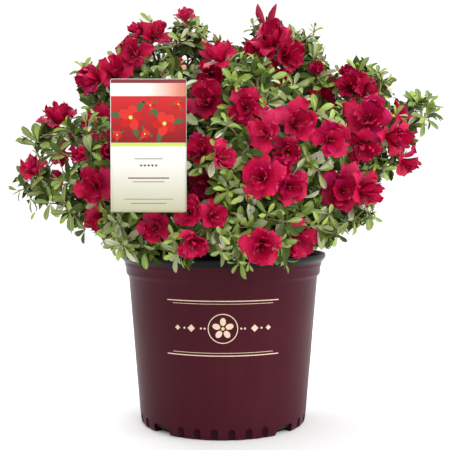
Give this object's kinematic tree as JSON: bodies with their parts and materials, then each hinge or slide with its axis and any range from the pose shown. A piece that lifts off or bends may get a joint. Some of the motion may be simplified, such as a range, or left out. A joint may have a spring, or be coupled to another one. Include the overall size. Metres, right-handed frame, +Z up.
{
  "type": "potted azalea shrub",
  "caption": "Domed flowering evergreen shrub on a short woody stem, rooted in potting mix in a tapered plastic nursery pot, with a plain care tag on a twig.",
  "frame": {"origin": "centre of the pot's flat underside", "axes": "+Z up along the pot's axis, -Y out of the show side where the care tag hangs, +X to the right seen from that side, along the crown's widest spread"},
  "size_m": [0.5982, 0.495, 0.5574],
  "materials": {
    "pot": "satin maroon",
    "potting_mix": "moist bark mix",
    "bark": "rough bark",
    "foliage": "green leaves with crimson blooms",
    "tag_card": "smooth card"
  },
  "bodies": {
    "root": {"back_left": "foliage", "back_left_high": "foliage", "back_left_low": "foliage", "back_low": "foliage", "back_mid": "foliage", "back_right": "foliage", "back_right_high": "foliage", "back_right_low": "foliage", "back_side_low": "foliage", "back_top": "foliage", "bough_back": "bark", "bough_back_left": "bark", "bough_back_right": "bark", "bough_centre": "bark", "bough_crest": "bark", "bough_front": "bark", "bough_front_left": "bark", "bough_front_right": "bark", "bough_heart": "bark", "bough_left_high": "bark", "bough_left_low": "bark", "bough_peak": "bark", "bough_right": "bark", "bough_right_low": "bark", "care_tag": "tag_card", "centre": "foliage", "centre_left": "foliage", "centre_right": "foliage", "centre_upper": "foliage", "centre_upper_left": "foliage", "crest": "foliage", "front_left": "foliage", "front_right": "foliage", "heart_low": "foliage", "heart_upper": "foliage", "left_front": "foliage", "left_low": "foliage", "left_mid": "foliage", "left_tip": "foliage", "left_upper": "foliage", "low_front_left": "foliage", "low_front_right": "foliage", "peak_left": "foliage", "pot": "pot", "potting_mix": "potting_mix", "right_front": "foliage", "right_low": "foliage", "right_side": "foliage", "right_tip": "foliage", "right_upper": "foliage", "shoulder_left": "foliage", "trunk": "bark", "upper_right": "foliage"}
  },
  "joints": []
}
